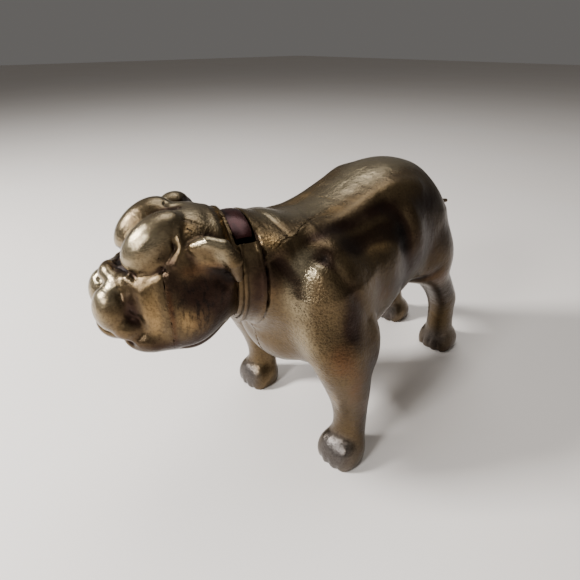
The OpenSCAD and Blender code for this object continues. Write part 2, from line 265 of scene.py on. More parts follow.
def body_forms(refined):
    """The trunk, the legs and the muscles over them."""
    leg_blend = 7 if refined else 1
    forms = [Loft(1, TRUNK, 1)]
    for side in (1, -1):
        forms.append(leg(FORE_LEG, side, leg_blend))
        forms.append(leg(HIND_LEG, side, leg_blend))
    forms += on_both_sides(Mass, (17, -20, 60), (10.5, 13, 20), tilt=10, blend=6)
    forms += on_both_sides(Mass, (11.5, 34, 63), (9.6, 14, 18), tilt=12, blend=7)
    if refined:
        forms += on_both_sides(Mass, (15.6, 39, 57), (8.6, 9, 12), tilt=30, blend=6)
        forms += on_both_sides(Mass, (25.5, -14, 46), (5.4, 5, 9), tilt=-8, blend=4)
        forms.append(Mass((0, -26.5, 50), (17, 9.4, 15), blend=7))
    forepaw, hindpaw = ((7, 6.5, 9.6), (7.2, 7.8, 9.2)) if refined else ((7.6, 7.6, 10), (7.8, 8.6, 9.6))
    for side in (1, -1):
        forms += paw((25.5, -19.4), forepaw, side, 3.6)
        forms += paw((15, 66), hindpaw, side, 3.6)
    return forms


def cast_head_forms():
    """The masses that the head's two castings were designed with."""
    forms = [Loft(1, SKULL, 1)]
    forms += on_both_sides(Mass, (5.7, -62.9, 84.2), (6, 7, 7), tilt=20, turn=10)
    forms += on_both_sides(Mass, (5.2, -73.6, 70.5), (5.6, 5.6, 6.6), tilt=12)
    forms += on_both_sides(Mass, (9.6, -57.5, 67), (7.2, 10, 11.5))
    forms += on_both_sides(Mass, (14.6, -52, 85.6), (3.2, 6.2, 5.2), tilt=25, turn=-14)
    forms += on_both_sides(Mass, (16, -49.5, 81.5), (2.4, 3.6, 4.6), tilt=20, turn=-10)
    forms += on_both_sides(Mass, (6, -67.5, 60.5), (7, 9, 5.2))
    forms += [Mass((0, -71, 77.5), (3.8, 3.8, 3.8)), Mass((0, -72.4, 63.8), (8, 7.6, 6.2))]
    return forms


def carved_head_forms():
    """The head as the chaser finished it: brows, muzzle, jaw, cheeks and folded ears."""
    forms = [Loft(1, SKULL, 1)]
    forms += on_both_sides(Mass, (9.6, -57.5, 67), (7.2, 10, 11.5), blend=4)
    forms += on_both_sides(Mass, (6.2, -62.6, 85.8), (5.6, 9.3, 5.6), tilt=38, turn=2, blend=1.4)
    forms += on_both_sides(Mass, (7, -65, 61.4), (7.4, 9, 5.2), blend=2.4)
    forms.append(Mass((0, -73.2, 63.6), (7.4, 6.4, 5.2), blend=1.2))
    forms += on_both_sides(Mass, (6.6, -69.2, 70.6), (4.8, 4.8, 7), blend=2.4)
    forms += on_both_sides(Mass, (7.6, -71.2, 65.4), (4.6, 5.2, 4.4), blend=1)
    forms += on_both_sides(Mass, (5.1, -74.2, 69.6), (5.6, 5.5, 6.7), tilt=4, blend=0.7)
    forms += on_both_sides(Mass, (2.9, -72.9, 73.8), (3, 3.3, 3), blend=0.8)
    forms.append(Mass((0.4, -72.4, 77), (4.4, 4, 3.6), blend=0.8))
    forms += on_both_sides(Mass, (4.6, -71.6, 75.2), (3.4, 3.6, 3.4), blend=1.4)
    fold = [(3, -70.4, 78.6), (6.6, -69, 77.6), (10, -66.8, 75), (11.2, -66, 69.4), (10.8, -66.2, 64)]
    forms += on_both_sides(Roll, fold, [1.6, 2.3, 2.7, 2.9, 2.4], blend=1.3)
    forms += on_both_sides(Mass, (14.2, -50.6, 83), (3, 5, 5), tilt=25, turn=-14, blend=2)
    ear_edge = [(14.2, -54.6, 86), (15.9, -51.4, 87.2), (17, -48.4, 86), (17.4, -46, 82), (16.2, -45, 77)]
    forms += on_both_sides(Roll, ear_edge, [1.2, 1.8, 2.2, 2.3, 1.5], blend=1.6)
    forms.append(Mass((-15, -52, 87.6), (3.6, 4.6, 3.4), blend=1.6))
    return forms


# ---- the chaser's strokes ---------------------------------------------------------------------
# A stroke is (path, depth, width). A positive depth raises a ridge and a negative one cuts a groove.

LEFT_HEAD_STROKES = [
    # furrow between the brows
    ([(0, -55, 92), (0, -59, 92), (0, -64, 90), (0, -69, 84), (0, -71, 80)], -1.7, 1.9),
    # under the brow, round the eye and up to the seam
    (
        [
            (2.5, -71.5, 80.4), (5.5, -70.2, 79.4), (9, -67.8, 79),
            (11.4, -65.4, 79.6), (12.8, -62.6, 81.2),
        ],
        -1.3,
        1.4,
    ),
    ([(6.4, -70, 78.8), (9, -67.8, 78.6)], -0.8, 1.0),
    # between the muzzle and the cheek
    ([(7.4, -71.8, 74.6), (9.6, -71, 70), (10, -71, 65.4), (9.4, -70.6, 61.6)], -1.7, 1.7),
    # the mouth, and the cleft between the flews
    (
        [(0, -80, 66.6), (3.4, -79.4, 64.6), (7, -77, 62.8), (10.4, -72.8, 61.2), (12, -68.6, 60.8)],
        -1.0,
        1.1,
    ),
    ([(0, -76, 75), (0, -79.6, 71), (0, -80, 66)], -1.5, 1.3),
    # over the nose, and the nostrils
    ([(0, -73, 81), (3.4, -72.6, 79.6), (5.6, -71, 76.6)], -0.7, 1.0),
    ([(1.2, -76.2, 76), (3.4, -76, 74.2), (5.4, -74, 74.6)], -0.6, 1.0),
    # wrinkles where the head meets the neck
    ([(0, -43.4, 90.4), (6, -44, 89.2), (11, -45, 85.4)], -0.5, 1.4),
    ([(4, -47.6, 91.4), (9, -48.6, 89.6), (12.4, -49.6, 87)], -0.3, 2.0),
    # hollow behind the ear
    ([(13.6, -49, 88.6), (15, -45.6, 86.6), (15.4, -43.6, 82)], -1.3, 2.2),
    # under the folded ear
    ([(13.6, -55, 82.6), (16, -51, 79.6), (16.2, -47.6, 75.4)], -0.9, 2.2),
    # the short cracks by the seam
    ([(-3, -57, 92.4), (1, -57, 92.4), (5.6, -56.6, 91.2)], -0.5, 0.5),
    ([(6.4, -56, 91), (7.6, -54, 90.6), (9, -51.6, 89.6)], -0.45, 0.5),
    # the crack of the seam between the brow and the cheek, and the raised edge behind it
    (
        [
            (6, -57.6, 91.4), (9.4, -58.4, 89.4), (12.2, -58.8, 85.6),
            (12.6, -61, 82.8), (12.6, -62.4, 80.6),
        ],
        -0.9,
        0.55,
    ),
    ([(9.8, -57, 89.4), (12.8, -57.2, 85.6), (13.4, -59.4, 82)], 0.6, 0.9),
    ([(13.2, -62.5, 79), (14, -62.5, 74), (14.8, -62.5, 68), (14, -62.5, 61)], -0.45, 0.45),
    ([(13.4, -61.4, 78), (14.6, -61.4, 72), (15, -61.4, 64)], 0.2, 0.8),
    # the rim of the jaw
    ([(13.6, -60, 57.4), (14.4, -54.6, 58.2), (12.4, -48.6, 61.4)], -0.8, 1.3),
]

LEFT_BODY_STROKES = [
    # the edge of the back, and the hollow flank under it
    (
        [
            (11.5, -36, 81.4), (10.8, -24, 82.4), (10.4, -10, 83.2),
            (10.8, 2, 85.6), (12, 13, 88), (15, 24, 86),
        ],
        0.9,
        4,
    ),
    (
        [(18.6, -26, 76.4), (19.6, -12, 76.6), (20.4, 0, 78), (20.6, 8, 75), (22.6, 9, 66), (21, 11, 56)],
        -1.1,
        5,
    ),
    ([(16.4, 6, 84), (18.8, 9.6, 79.6), (21.8, 9.6, 72)], -0.9, 4),
    # the ribs
    ([(22.6, -8, 70), (22.8, -2, 66), (22, 2, 58)], 0.9, 7),
    # between the neck and the shoulder, and behind the shoulder
    ([(13, -37, 78), (15.6, -34.4, 72), (16.6, -33.6, 66)], -1.2, 3.4),
    ([(19.6, -26.6, 77), (23.4, -25, 73), (26, -21.4, 66), (26.8, -16.4, 57.6)], -0.9, 2.4),
    ([(20.6, -29, 74), (24, -27.4, 67), (26, -25, 59)], 0.7, 3.6),
    # the front of the haunch and the fold of the knee
    ([(19.8, 15, 80), (22, 18, 70), (20.6, 22, 58)], 0.7, 4),
    ([(15, 26, 48), (19, 30, 50), (22, 34, 54)], -1.0, 3),
    # the elbow
    ([(27.6, -11.4, 50), (30.6, -13.4, 44), (31, -13, 38)], 0.5, 2.2),
    # tendons of the hocks
    ([(18.6, 60, 40), (19.6, 65, 31), (18, 66.6, 22)], -0.6, 2),
]

SEAM_STROKES = [
    # the soldered edge of the back, on the dog's left
    (
        [(11.4, -41, 79), (10.4, -32, 81.6), (8.4, -24, 82.6), (6, -15, 83.4), (4.4, -9.6, 84)],
        -0.35,
        0.38,
    ),
    ([(12.4, -40.6, 79), (11.2, -32, 81.4), (9.2, -24, 82.4)], 0.22, 0.7),
]
KEEL_STROKES = [([(0, -36, 52), (0, -33, 44), (0, -27, 35), (0, -18, 29.6), (0, -8, 31)], 0.55, 0.9)]

FOREPAW_STROKES = [([(k, -30, 9), (k, -28, 3), (k, -27, 0)], -0.45, 0.9) for k in (22.0, 25.5, 29.0)]
HINDPAW_STROKES = [([(k, 55, 9), (k, 57, 3), (k, 58, 0)], -0.45, 0.9) for k in (11.4, 15.0, 18.6)]


# How sharply a stroke fades at its edges
STROKE_EDGE = 1.4


def stroke_height(p, strokes):
    """How far the strokes raise or cut the skin at each point."""
    height = np.zeros(len(p))
    for path, depth, width in strokes:
        near = Roll(path, [0] * len(path)).distance(p) / width
        height += depth * np.exp(-(near**2) * STROKE_EDGE)
    return height


def both(strokes):
    """The strokes on the dog's left, and their mirror images."""
    off_middle = [stroke for stroke in strokes if stroke[0][0][0] != 0]
    return strokes + [([(-x, y, z) for x, y, z in path], d, w) for path, d, w in off_middle]


def behind_by(strokes, step):
    """The strokes on the dog's right, a step further back."""
    return [([(-x, y + step, z) for x, y, z in path], d, w) for path, d, w in strokes]


# beside the collar's rear edge
COLLAR_SIDE = [(9, 85.6), (13.4, 81), (16, 74), (15, 66), (11, 59), (5, 55.6)]
COLLAR_STROKES = both([([(x, -36.9, z) for x, z in COLLAR_SIDE], -1.0, 0.9)])
HEAD_STROKES = both(LEFT_HEAD_STROKES)
BODY_STROKES = (
    both(LEFT_BODY_STROKES) + SEAM_STROKES + KEEL_STROKES + FOREPAW_STROKES + HINDPAW_STROKES
    + behind_by(FOREPAW_STROKES, STRIDE) + behind_by(HINDPAW_STROKES, STRIDE)
)

NECK_FORM = Loft(1, NECK, 5)
CAST_BODY, CARVED_BODY = body_forms(False), body_forms(True)
CAST_HEAD, CARVED_HEAD = cast_head_forms(), carved_head_forms()


def neck_distance(p):
    """The neck, which turns with the head."""
    return NECK_FORM.distance(into_head(p))


def cast_body(p):
    """Trunk, neck and legs as designed, ending at the floor."""
    whole = np.minimum(joined(CAST_BODY, p, smooth=False), neck_distance(p))
    return np.maximum(whole, -p[:, 2])


def carved_body(p):
    """Trunk, neck and legs as chased, run into each other."""
    body, neck = joined(CARVED_BODY, p), neck_distance(p)
    h = np.maximum(NECK_FORM.blend - np.abs(body - neck), 0) / NECK_FORM.blend
    return np.maximum(np.minimum(body, neck) - h * h * NECK_FORM.blend / 4, -p[:, 2])


def cast_head(p):
    """The head as designed, with the clay that is added to it."""
    q = into_head(p)
    return np.minimum(joined(CAST_HEAD, q, smooth=False), joined(CARVED_HEAD, q, smooth=False))


def carved_head(p):
    """The head as chased."""
    return joined(CARVED_HEAD, into_head(p))


COLLAR_PROUD = 1.0
COLLAR_RIMS = (-42.8, -38)
RIM_WIDTH = 0.7
RIM_HEIGHT = 0.6
BAND_SUNK = 0.25


def cast_collar(p):
    """The plain band as designed."""
    return neck_distance(p) - COLLAR_PROUD


def carved_collar(p):
    """The collar's band with a rolled rim along each edge."""
    y = into_head(p)[:, 1]
    rims = sum(np.exp(-(((y - rim) / RIM_WIDTH) ** 2)) for rim in COLLAR_RIMS)
    return neck_distance(p) - COLLAR_PROUD + BAND_SUNK - RIM_HEIGHT * rims


def slope(distance, p, value, step=0.03):
    """The direction in which the distance grows, and how fast."""
    grown = [distance(p + step * np.eye(3)[i]) - value for i in range(3)]
    return np.stack(grown, 1) / step


LONGEST_STEP = 1.5
FLATTEST_SLOPE = 0.05


def settle(distance, p, rounds):
    """Points moved along the slope until they lie on the form's skin."""
    for _ in range(rounds):
        value = distance(p)
        g = slope(distance, p, value)
        move = np.clip(value / np.maximum((g**2).sum(1), FLATTEST_SLOPE), -LONGEST_STEP, LONGEST_STEP)
        p = p - g * move[:, None]
    return p


# How far out a hollow is felt for, and how much each reach counts; the hollows found get dark patina and
# painted shade
FEELERS = ((1.0, 0.4), (2.6, 0.4), (6.0, 0.2))


def hollowness(distance, p, normal):
    """0 in the open, and up to 1 deep in a hollow."""
    shut = np.zeros(len(p))
    for reach, weight in FEELERS:
        shut += weight * np.clip(1 - distance(p + normal * reach) / reach, -0.5, 1)
    return shut


# ---- from a casting's design to its finished piece --------------------------------------------


def only(obj):
    """The object alone is selected and active."""
    bpy.ops.object.select_all(action="DESELECT")
    obj.select_set(True)
    bpy.context.view_layer.objects.active = obj


def rough_casting(name, node, grain_size, front, back):
    """A copy of the CAD casting with an even skin of small faces."""
    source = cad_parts[node]
    piece = source.copy()
    piece.data = source.data.copy()
    piece.name = piece.data.name = name
    piece.parent = None
    for key in list(piece.keys()):
        del piece[key]
    bpy.context.scene.collection.objects.link(piece)
    only(piece)
    bpy.ops.object.mode_set(mode="EDIT")
    bpy.ops.mesh.select_all(action="SELECT")
    bpy.ops.mesh.remove_doubles(threshold=TINY)
    bpy.ops.object.mode_set(mode="OBJECT")
    if front is not None or back is not None:
        add_clay(piece, CARVED_HEAD, front, back)
    skin = piece.modifiers.new("even skin", "REMESH")
    skin.mode = "VOXEL"
    skin.voxel_size = grain_size * MM
    bpy.ops.object.modifier_apply(modifier=skin.name)
    piece.data.materials.clear()
    return piece


def clay_ball(centre, radii, turning):
    """A fine ball in the head's frame, carried round with the head."""
    bpy.ops.object.select_all(action="DESELECT")
    bpy.ops.mesh.primitive_uv_sphere_add(segments=36, ring_count=18, radius=1)
    ball = bpy.context.active_object
    co = np.zeros(len(ball.data.vertices) * 3, np.float32)
    ball.data.vertices.foreach_get("co", co)
    p = out_of_head(co.reshape(-1, 3) * np.array(radii) @ turning.T + np.array(centre))
    set_points(ball.data, p)
    return ball


def cut_at(obj, place, keep_front):
    """Cuts a closed piece of clay at a seam of the head and closes the cut."""
    only(obj)
    ahead = (out_of_head([[0, -1, 0]]) - out_of_head([[0, 0, 0]]))[0]
    through = (out_of_head([[0, place, 0]])[0] + MIDDLE_SHIFT) * MM
    bpy.ops.object.mode_set(mode="EDIT")
    bpy.ops.mesh.select_all(action="SELECT")
    bpy.ops.mesh.bisect(
        plane_co=through,
        plane_no=ahead,
        use_fill=True,
        clear_inner=keep_front,
        clear_outer=not keep_front,
    )
    bpy.ops.object.mode_set(mode="OBJECT")


BALLS_TO_A_STRETCH = 5


def add_clay(piece, forms, front, back):
    """Adds the carved head's masses to a casting, between two seams."""
    balls = []
    for form in forms:
        if isinstance(form, Mass):
            balls.append(clay_ball(form.centre, form.radii, form.turn))
        elif isinstance(form, Roll):
            for a, b, ra, rb in zip(form.path, form.path[1:], form.radii, form.radii[1:]):
                for t in np.linspace(0, 1, BALLS_TO_A_STRETCH):
                    balls.append(clay_ball(a + t * (b - a), [ra + t * (rb - ra)] * 3, np.eye(3)))
    kept = []
    for ball in balls:
        if front is not None:
            cut_at(ball, front, False)
        if back is not None:
            cut_at(ball, back, True)
        if len(ball.data.vertices) > 3:
            kept.append(ball)
        else:
            bpy.data.objects.remove(ball)
    only(piece)
    for ball in kept:
        ball.select_set(True)
    bpy.ops.object.join()


def points_of(mesh):
    """The mesh's points in the sculptor's frame."""
    co = np.zeros(len(mesh.vertices) * 3, np.float32)
    mesh.vertices.foreach_get("co", co)
    return co.reshape(-1, 3).astype(float) / MM - MIDDLE_SHIFT


def set_points(mesh, p):
    """Moves the mesh's points to places in the sculptor's frame."""
    co = ((p + MIDDLE_SHIFT) * MM).astype(np.float32)
    mesh.vertices.foreach_set("co", co.ravel())
    mesh.update()


def keep_value(mesh, name, values):
    """Stores a number at each point for the materials to read."""
    layer = mesh.attributes.new(name, "FLOAT", "POINT")
    layer.data.foreach_set("value", values.astype(np.float32))


# How sharply a dab fades at its edges, and where the head's dabs fade out behind it
DAB_EDGE = 1.1
HEAD_DABS_END = (41, 46)


def spots(p, table):
    """How strongly the painter's dabs cover each point. A dab is (centre, radii, strength)."""
    cover = np.zeros(len(p))
    for centre, radii, strength in table:
        near = np.linalg.norm((p - np.array(centre, float)) / np.array(radii, float), axis=1)
        cover += strength * np.exp(-(near**2) * DAB_EDGE)
    return np.clip(cover, 0, 1)


# Painter's dabs on the dog's left, mirrored on the right. Head dabs are in the head's own frame.
# Colours come first, and the silver, gold and umber among them also paint highlights and shade. One mark
# lifts some of the hollows' patina and painted shade, "sand" shows the mould's grain, "pitted" has small
# holes and "hair" has short dark strokes.
DABS = {
    # worn silver metal, and painted highlights: the brow, muzzle, nose, ear, the top of the head and
    # back, the shoulder and the front of the foreleg
    "silver_and_highlight": {
        "head": [
            ((8, -64, 88), (6, 6, 6), 0.7),
            ((7, -69, 83), (5, 4, 5), 0.8),
            ((5, -78, 70), (6, 5, 7), 0.8),
            ((3, -75, 76), (6, 4, 5), 0.8),
            ((16, -53, 89), (3.4, 5, 2.4), 1.0),
            ((17.6, -48.6, 85), (2.5, 3, 4), 0.8),
            ((3, -52, 93), (11, 9, 4), 0.8),
            ((9, -46, 89), (4, 4, 4), 0.5),
        ],
        "body": [
            ((0, -18, 86), (9, 20, 5), 0.9),
            ((0, 12, 91), (9, 24, 6), 0.9),
            ((0, 34, 92), (12, 14, 7), 0.6),
            ((16, -34, 68), (6, 5, 9), 0.65),
            ((16, -29, 75.6), (5, 5, 4.6), 0.9),
            ((20, -22, 75), (4, 5, 3), 0.5),
            ((19, -34, 54), (6, 5, 9), 0.6),
            ((22, -32, 42), (6, 5, 10), 0.5),
            ((25, -25, 28), (4, 4, 13), 0.5),
        ],
    },
    # pale gold wash, and painted highlights on the ribs and down the front of the foreleg
    "gold": {
        "head": [
            ((12.6, -66, 70), (3, 2.6, 7.4), 1.0),
            ((16, -59, 68), (3, 3, 4.5), 0.85),
            ((16, -53, 81), (3, 4, 3), 0.6),
            ((10, -66, 86), (6, 4, 5), 0.4),
            ((10, -55, 89), (4, 3, 3), 0.5),
            ((6, -75, 64), (5, 4, 2.6), 0.5),
            ((15.6, -45.4, 78), (2.6, 2.6, 3), 0.6),
        ],
        "body": [
            ((13, -43, 67), (5, 4, 6), 0.7),
            ((10, -37, 82.5), (4, 4, 3), 0.7),
            ((6, -29, 48), (10, 6, 10), 0.6),
            ((22, -33, 42), (6, 5, 10), 0.5),
            ((26, -27, 30), (5, 4, 14), 0.4),
            ((20, -4, 74), (5, 10, 6), 0.5),
            ((7, -9, 83.6), (3, 14, 2.4), 0.5),
            ((10, 4, 87), (4, 10, 2), 0.4),
            ((20, -3, 77), (5, 8, 4), 0.3),
            ((15, 57, 22), (6, 4, 10), 0.4),
        ],
    },
    "amber": {
        "head": [
            ((15.4, -56, 80.6), (3.6, 3.6, 2.6), 0.9),
            ((17, -50, 81), (3, 4, 3), 0.7),
            ((8, -74, 63.4), (5, 4, 3), 0.8),
            ((14.6, -62.2, 69), (3, 1, 9), 1.0),
            ((16, -56, 68), (4, 4, 5), 0.6),
        ],
        "body": [
            ((14, -41, 68), (5, 4, 5), 0.5),
            ((29, -29, 50), (5, 5, 7), 0.9),
            ((32, -24, 38), (4, 5, 12), 0.7),
            ((32, -17, 25), (4, 4, 10), 0.7),
            ((25, -6, 60), (5, 8, 6), 0.5),
            ((23, 12, 72), (3, 4, 8), 0.4),
            ((22, 40, 48), (6, 8, 8), 0.7),
            ((20, 30, 52), (6, 6, 5), 0.7),
            ((20, 60, 27), (4, 5, 9), 0.5),
        ],
    },
    # dark brown patina, and painted shade on the flank under the back's edge, behind the shoulder, on the
    # haunch, the outer foreleg and the belly, under the jaw and muzzle, behind the ear and in the crease
    # by the muzzle
    "umber_and_shade": {
        "head": [
            ((14, -60.6, 80), (3, 2.6, 6), 0.5),
            ((16, -56, 75), (5, 6, 5), 0.9),
            ((15, -49, 70), (6, 6, 9), 1.0),
            ((13.4, -61, 84), (3, 3, 3), 0.3),
            ((14, -60, 59), (8, 9, 4), 0.8),
            ((10, -68, 61), (7, 6, 3), 0.6),
            ((14, -45, 86), (4, 3, 5), 0.6),
            ((10.4, -70.6, 70.4), (2.8, 3, 7), 1.0),
            ((14.6, -62.2, 69), (3, 0.8, 9), 0.6),
            ((14.6, -54, 61), (6, 5, 5), 0.5),
        ],
        "body": [
            ((15, -40, 76), (4, 4, 7), 0.8),
            ((11.6, -44.4, 70), (5, 3.4, 13), 0.75),
            ((14, -36, 80), (3, 4, 2.4), 0.7),
            ((13.4, -12, 80.6), (3.6, 11, 2.6), 1.0),
            ((15.4, 3, 83), (4, 10, 2.8), 1.0),
            ((12.4, -24, 80.4), (3, 6, 1.8), 0.8),
            ((22, 8, 76), (3, 3.4, 9), 0.5),
            ((26, -22, 64), (5, 5, 9), 0.75),
            ((24, 8, 60), (8, 10, 9), 0.75),
            ((24, 22, 70), (8, 12, 12), 0.75),
            ((20, 40, 62), (9, 14, 16), 0.65),
            ((18, 52, 40), (9, 12, 16), 0.75),
            ((31, -16, 44), (6, 7, 14), 0.6),
            ((32, -15, 20), (5, 6, 16), 0.6),
            ((28, -24, 56), (5, 4, 6), 0.8),
            ((0, 5, 38), (26, 40, 8), 0.6),
            ((20, 60, 4), (6, 8, 5), 0.5),
            ((20, 26, 82), (8, 12, 5), 0.7),
            ((24, -6, 64), (5, 9, 7), 0.5),
            ((10, 55, 72), (9, 6, 9), 0.5),
        ],
    },
    "lead": {
        "head": [
            ((2, -77, 62), (6, 5, 2), 0.3),
        ],
        "body": [
            ((26, -24, 5), (9, 10, 9), 1.0),
            ((15, 62, 5), (9, 11, 9), 0.9),
            ((16, 62, 20), (8, 6, 9), 0.5),
        ],
    },
    # lifts some of the hollows' dark patina and painted shade on the nose, muzzle, brow, fold and
    # shoulder
    "less_patina_and_shade": {
        "head": [
            ((2, -75, 77), (7, 5, 4), 1.0),
            ((9, -68, 77), (6, 4, 4), 0.6),
            ((5, -78, 70), (6, 5, 7), 0.8),
            ((13, -66, 70), (3, 3, 7), 0.8),
            ((6, -66, 87), (8, 8, 5), 0.5),
        ],
        "body": [
            ((16, -34, 68), (6, 5, 9), 0.5),
        ],
    },
    "sand": {
        "head": [
            ((9, -51, 88), (5, 5, 3), 0.5),
            ((14.6, -47, 87), (3, 4, 4), 0.5),
        ],
        "body": [
            ((20, -31, 63), (9, 8, 16), 1.0),
            ((20, -32, 48), (9, 7, 11), 0.8),
            ((10, -37, 82), (5, 4, 4), 0.6),
            ((26, -24, 50), (8, 9, 12), 0.5),
        ],
    },
    "pitted": {
        "head": [
            ((10, -54, 89), (5, 5, 3), 0.9),
            ((13, -57, 84), (3, 4, 4), 0.7),
            ((15.4, -47, 86), (4, 4, 4), 0.9),
            ((13, -62.5, 68), (3, 1.4, 9), 0.6),
            ((16, -57, 70), (4, 6, 7), 0.5),
        ],
        "body": [
            ((10, -37, 82), (4, 6, 3), 1.0),
            ((8, -24, 83), (3.4, 10, 2.4), 1.0),
            ((6, -12, 84), (3, 8, 2), 0.8),
            ((16, -24, 78), (5, 7, 4), 0.5),
            ((2, -30, 84), (6, 6, 3), 0.4),
        ],
    },
    "hair": {
        "head": [
            ((16, -55, 71), (6, 9, 9), 1.0),
        ],
        "body": [
            ((20, 40, 62), (9, 14, 16), 0.25),
            ((22, -2, 66), (6, 10, 8), 0.3),
        ],
    },
}


def dab_values(p, colour):
    """The cover of one colour, with the head's dabs carried round with the head."""
    head, body = DABS[colour]["head"], DABS[colour]["body"]
    q = into_head(p)
    q[:, 0] = np.abs(q[:, 0])
    side = p.copy()
    side[:, 0] = np.abs(side[:, 0])
    return np.maximum(spots(q, head) * smooth_step(-q[:, 1], *HEAD_DABS_END), spots(side, body))


def snap_to_seams(p, seams, reach):
    """Points that lie close to a seam's plane are put on it, so that its edge stays crisp."""
    for in_head, axis, place in seams:
        q = into_head(p) if in_head else p
        near = np.abs(q[:, axis] - place) < reach
        q[near, axis] = place
        p = turned(q, -HEAD_TURN) if in_head else q
    return p


def snap_to_outline(p, outline, reach, above):
    """Points near the upright walls of an outline are put on them, above a height."""
    corners = np.array(outline + outline[:1], float)
    best = np.full(len(p), reach)
    moved = p[:, :2].copy()
    for a, b in zip(corners, corners[1:]):
        t = np.clip((p[:, :2] - a) @ (b - a) / ((b - a) @ (b - a)), 0, 1)
        foot = a + t[:, None] * (b - a)
        gap = np.linalg.norm(p[:, :2] - foot, axis=1)
        nearer = (gap < best) & (p[:, 2] > above)
        moved[nearer], best[nearer] = foot[nearer], gap[nearer]
    p = p.copy()
    p[:, :2] = moved
    return p


# Depths under the designed skin: what is carved at all, what is laid exactly on the designed form,
# what follows the carving, what is seen (deeper is painted full shade), and where the inside begins
# (painted black as shade)
SKIN_DEPTH = 2.0
SURFACE = (-0.9, -0.45)
FOLLOW = (-1.9, -0.6)
SEEN_DEPTH = 1.2
INSIDE = (0.9, 1.9)
# How near a seam a point is pulled onto it, in sizes of the skin's grain
SNAP = 0.6
CREASE_ANGLE = 48
# How much a cut stroke darkens with dirt and painted shade, and how much a raised one wears clean
GROOVE_DIRT_AND_SHADE = 0.6
RIDGE_WEAR = 0.2


def finish_casting(piece, cast, carved, strokes, seams, grain_size):
    """Settles the skin on the carved form, cuts the strokes and stores the patina, with its painted light
    and shade.
    """
    p = points_of(piece.data)
    depth = cast(p)
    skin = depth > -SKIN_DEPTH
    near = p[skin]
    on_cast = settle(cast, near, rounds=2)
    on_carved = settle(carved, on_cast, rounds=4)
    value = carved(on_carved)
    normal = slope(carved, on_carved, value)
    normal /= np.maximum(np.linalg.norm(normal, axis=1), TINY)[:, None]
    height = np.zeros(len(on_carved))
    for in_head, table in strokes:
        height += stroke_height(into_head(on_carved) if in_head else on_carved, table)
    target = on_carved + normal * height[:, None]
    surface = smooth_step(depth[skin], *SURFACE)[:, None]
    follow = smooth_step(depth[skin], *FOLLOW)[:, None]
    p[skin] = near + surface * (on_cast - near) + follow * (target - on_cast)
    reach = SNAP * grain_size
    p = snap_to_seams(p, [seam for seam in seams if seam != COVER_SEAM], reach)
    if COVER_SEAM in seams:
        p = snap_to_outline(p, COVER_OUTLINE, reach, COVER_FLOOR)
    set_points(piece.data, p)

    # painted shade, with the dark patina: hollows and cut grooves are darkened, and all below the seen
    # skin is full shade
    shut = np.ones(len(p))
    groove = np.clip(-height, 0, 1.5) * GROOVE_DIRT_AND_SHADE - np.clip(height, 0, 1) * RIDGE_WEAR
    shut[skin] = hollowness(carved, on_carved, normal) + groove
    shut = np.where(depth > -SEEN_DEPTH, shut, 1.0)
    keep_value(piece.data, "patina_and_shade_in_hollows", shut)
    # painted shade: the inside of the casting is painted black
    keep_value(piece.data, "inside", smooth_step(-depth, *INSIDE))
    for colour in DABS:
        keep_value(piece.data, colour, dab_values(p, colour))
    only(piece)
    bpy.ops.object.shade_smooth_by_angle(angle=math.radians(CREASE_ANGLE))


# A seam is (whether it turns with the head, its axis, its place)
FACE_SEAM = (True, 1, -62.53)
NECK_SEAM = (True, 1, -44.4)
MIDDLE_SEAM = (False, 0, 0.0)
COVER_SEAM = "cover"
COVER_FLOOR = 74
COVER_OUTLINE = [
    (-22, -35), (11.4, -41), (10.4, -32), (8.4, -24), (6, -15),
    (2.6, -5), (-2.6, -5), (-6, -15), (-9, -22), (-15, -30),
]
COLLAR_EDGES = [(True, 1, -43.3), (True, 1, -37.5)]
BODY_SEAMS = [MIDDLE_SEAM, NECK_SEAM, COVER_SEAM]

HEAD_WORK = [(True, HEAD_STROKES)]
BODY_WORK = [(False, BODY_STROKES), (True, COLLAR_STROKES)]

# Each casting: its name, CAD node, designed form, carved form, strokes, seams and grain of the skin
CASTINGS = [
    ("face_casting", "face", cast_head, carved_head, HEAD_WORK, [FACE_SEAM], 0.34),
    ("head_casting", "head_back", cast_head, carved_head, HEAD_WORK, [FACE_SEAM, NECK_SEAM], 0.38),
    ("collar_band", "collar", cast_collar, carved_collar, HEAD_WORK, COLLAR_EDGES, 0.36),
    ("left_body_casting", "body_left", cast_body, carved_body, BODY_WORK, BODY_SEAMS, 0.54),
    ("right_body_casting", "body_right", cast_body, carved_body, BODY_WORK, BODY_SEAMS, 0.54),
    ("back_casting", "back_cover", cast_body, carved_body, BODY_WORK, [COVER_SEAM], 0.42),
]

# The seams between which clay is added to a casting of the head
CLAY_BETWEEN = {"face": (None, FACE_SEAM[2]), "head_back": (FACE_SEAM[2], NECK_SEAM[2])}

castings = []
for name, node, cast, carved, strokes, seams, grain_size in CASTINGS:
    front, back = CLAY_BETWEEN.get(node, (None, None))
    casting = rough_casting(name, node, grain_size, front, back)
    finish_casting(casting, cast, carved, strokes, seams, grain_size)
    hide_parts(node)
    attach(casting, "bank")
    castings.append(casting)


# ---- materials ---------------------------------------------------------------------------------


